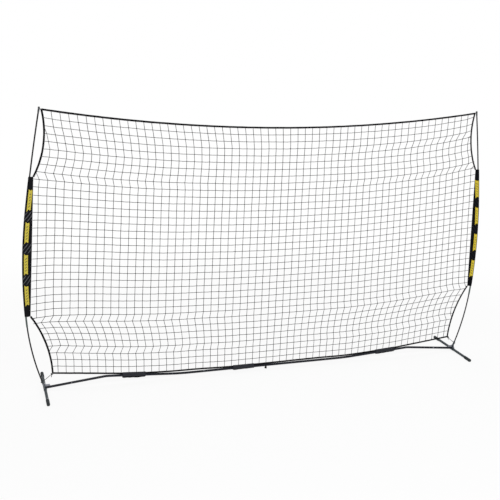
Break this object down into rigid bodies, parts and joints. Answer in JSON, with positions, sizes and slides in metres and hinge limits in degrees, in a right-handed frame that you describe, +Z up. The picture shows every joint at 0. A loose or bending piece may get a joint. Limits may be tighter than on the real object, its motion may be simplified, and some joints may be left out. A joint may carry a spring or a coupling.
{
  "type": "free-standing sports barrier net",
  "caption": "Portable 12 by 7 ft barrier net: bowed fibreglass poles on T-feet, jointed steel base tube, scalloped black net with sleeves and ties.",
  "frame": {"origin": "centre of the centre leg's sole, on the ground under the middle of the net", "axes": "+X along the net to its right end, -Y towards the front, +Z up"},
  "size_m": [3.9662, 0.604, 2.1975],
  "materials": {
    "foot_paint": "satin",
    "rubber": "matte",
    "zinc": "satin",
    "tube_paint": "gloss",
    "fibreglass": "satin",
    "ferrule": "satin",
    "cap_plastic": "matte",
    "sleeve_cloth": "matte",
    "patch_cloth": "matte",
    "cord": "matte",
    "net_cord": "matte",
    "webbing": "matte",
    "wrap_cloth": "matte"
  },
  "bodies": {
    "stand": {"left_foot_bar": "foot_paint", "right_foot_bar": "foot_paint", "left_boots": "rubber", "right_boots": "rubber", "left_tee": "foot_paint", "right_tee": "foot_paint", "left_socket": "foot_paint", "right_socket": "foot_paint", "left_gussets": "zinc", "right_gussets": "zinc", "left_stub_tube": "tube_paint", "right_stub_tube": "tube_paint", "left_side_tube": "tube_paint", "right_side_tube": "tube_paint", "centre_tube": "tube_paint", "centre_leg": "tube_paint", "leg_tip": "rubber", "left_foot_spring": "zinc", "right_foot_spring": "zinc", "left_centre_spring": "zinc", "right_centre_spring": "zinc", "left_lower_pole": "fibreglass", "right_lower_pole": "fibreglass", "left_middle_pole": "fibreglass", "right_middle_pole": "fibreglass", "left_upper_pole": "fibreglass", "right_upper_pole": "fibreglass", "left_lower_ferrule": "ferrule", "right_lower_ferrule": "ferrule", "left_upper_ferrule": "ferrule", "right_upper_ferrule": "ferrule", "left_tip_cap": "cap_plastic", "right_tip_cap": "cap_plastic", "left_sleeve": "sleeve_cloth", "right_sleeve": "sleeve_cloth", "left_patches": "patch_cloth", "right_patches": "patch_cloth", "netting": "net_cord", "top_binding": "webbing", "bottom_binding": "webbing", "left_high_binding": "webbing", "right_high_binding": "webbing", "left_low_binding": "webbing", "right_low_binding": "webbing", "left_wrap": "wrap_cloth", "right_wrap": "wrap_cloth", "middle_wrap": "wrap_cloth", "left_low_tie": "cord", "right_low_tie": "cord", "left_top_loop": "cord", "right_top_loop": "cord", "foot_rivets": "zinc"},
    "left_foot_button": {"left_foot_button": "zinc"},
    "left_centre_button": {"left_centre_button": "zinc"},
    "right_foot_button": {"right_foot_button": "zinc"},
    "right_centre_button": {"right_centre_button": "zinc"}
  },
  "joints": [
    {"name": "left_foot_press", "type": "slide", "parent": "stand", "child": "left_foot_button", "axis": [0, 1, 0], "range_m": [0, 0.0045], "stiffness_N_per_m": 2500, "springref_m": -0.001, "deforming": ["left_foot_spring"]},
    {"name": "left_centre_press", "type": "slide", "parent": "stand", "child": "left_centre_button", "axis": [0, 0.7071, -0.7071], "range_m": [0, 0.0045], "stiffness_N_per_m": 2500, "springref_m": -0.001, "deforming": ["left_centre_spring"]},
    {"name": "right_foot_press", "type": "slide", "parent": "stand", "child": "right_foot_button", "axis": [0, 1, 0], "range_m": [0, 0.0045], "stiffness_N_per_m": 2500, "springref_m": -0.001, "deforming": ["right_foot_spring"]},
    {"name": "right_centre_press", "type": "slide", "parent": "stand", "child": "right_centre_button", "axis": [0, 0.7071, -0.7071], "range_m": [0, 0.0045], "stiffness_N_per_m": 2500, "springref_m": -0.001, "deforming": ["right_centre_spring"]}
  ]
}
